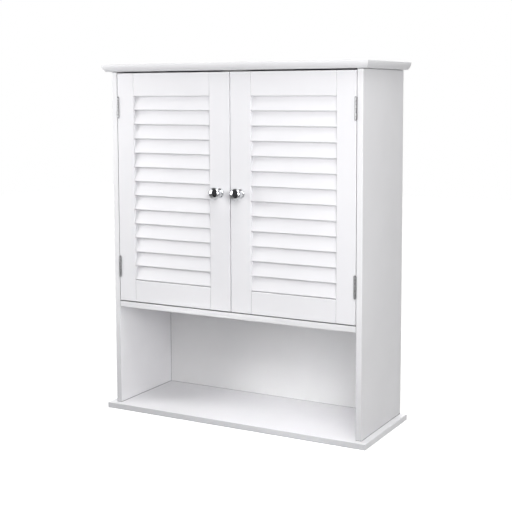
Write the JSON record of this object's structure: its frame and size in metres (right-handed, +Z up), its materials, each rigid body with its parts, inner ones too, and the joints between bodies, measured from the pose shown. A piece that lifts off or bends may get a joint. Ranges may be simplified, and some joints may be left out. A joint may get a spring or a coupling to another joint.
{
  "type": "wall-mounted bathroom cabinet",
  "caption": "Wall-mounted bathroom cabinet with louvred doors on butt hinges over an open compartment, a moulded crown board and a wider base board.",
  "frame": {"origin": "on the wall plane, at the middle of the hanging rail's back face, midway between its two screw holes", "axes": "+X to the right of someone facing the doors, +Y into the wall, +Z up"},
  "size_m": [0.6, 0.2325, 0.73],
  "materials": {
    "white_paint": "satin white paint over fibreboard",
    "white_hardboard": "white-faced hardboard",
    "white_plastic": "moulded, semi-matt",
    "hinge_steel": "dull zinc-plated steel",
    "bright_steel": "nickel-plated steel",
    "chrome": "polished chrome plate"
  },
  "bodies": {
    "cabinet": {"top_board": "white_paint", "bottom_board": "white_paint", "left_side_panel": "white_paint", "right_side_panel": "white_paint", "middle_shelf": "white_paint", "back_panel": "white_hardboard", "hanging_rail": "white_paint", "inner_shelf": "white_paint", "door_catch": "white_plastic", "shelf_pin_left_front": "bright_steel", "shelf_pin_left_back": "bright_steel", "shelf_pin_right_front": "bright_steel", "shelf_pin_right_back": "bright_steel", "left_upper_frame_leaf": "hinge_steel", "left_lower_frame_leaf": "hinge_steel", "right_upper_frame_leaf": "hinge_steel", "right_lower_frame_leaf": "hinge_steel"},
    "left_door": {"left_upper_door_leaf": "hinge_steel", "left_lower_door_leaf": "hinge_steel", "left_hinge_stile": "white_paint", "left_meeting_stile": "white_paint", "left_top_rail": "white_paint", "left_bottom_rail": "white_paint", "left_knob": "chrome", "left_strike_plate": "bright_steel", "left_slat_01": "white_paint", "left_slat_02": "white_paint", "left_slat_03": "white_paint", "left_slat_04": "white_paint", "left_slat_05": "white_paint", "left_slat_06": "white_paint", "left_slat_07": "white_paint", "left_slat_08": "white_paint", "left_slat_09": "white_paint", "left_slat_10": "white_paint", "left_slat_11": "white_paint", "left_slat_12": "white_paint", "left_slat_13": "white_paint"},
    "right_door": {"right_upper_door_leaf": "hinge_steel", "right_lower_door_leaf": "hinge_steel", "right_hinge_stile": "white_paint", "right_meeting_stile": "white_paint", "right_top_rail": "white_paint", "right_bottom_rail": "white_paint", "right_knob": "chrome", "right_strike_plate": "bright_steel", "right_slat_01": "white_paint", "right_slat_02": "white_paint", "right_slat_03": "white_paint", "right_slat_04": "white_paint", "right_slat_05": "white_paint", "right_slat_06": "white_paint", "right_slat_07": "white_paint", "right_slat_08": "white_paint", "right_slat_09": "white_paint", "right_slat_10": "white_paint", "right_slat_11": "white_paint", "right_slat_12": "white_paint", "right_slat_13": "white_paint"}
  },
  "joints": [
    {"name": "left_door_hinge", "type": "hinge", "parent": "cabinet", "child": "left_door", "pos_m": [-0.26935, -0.2058, -0.2068], "axis": [0, 0, -1], "range_deg": [0, 180]},
    {"name": "right_door_hinge", "type": "hinge", "parent": "cabinet", "child": "right_door", "pos_m": [0.26935, -0.2058, -0.2068], "axis": [0, 0, 1], "range_deg": [0, 180]}
  ]
}
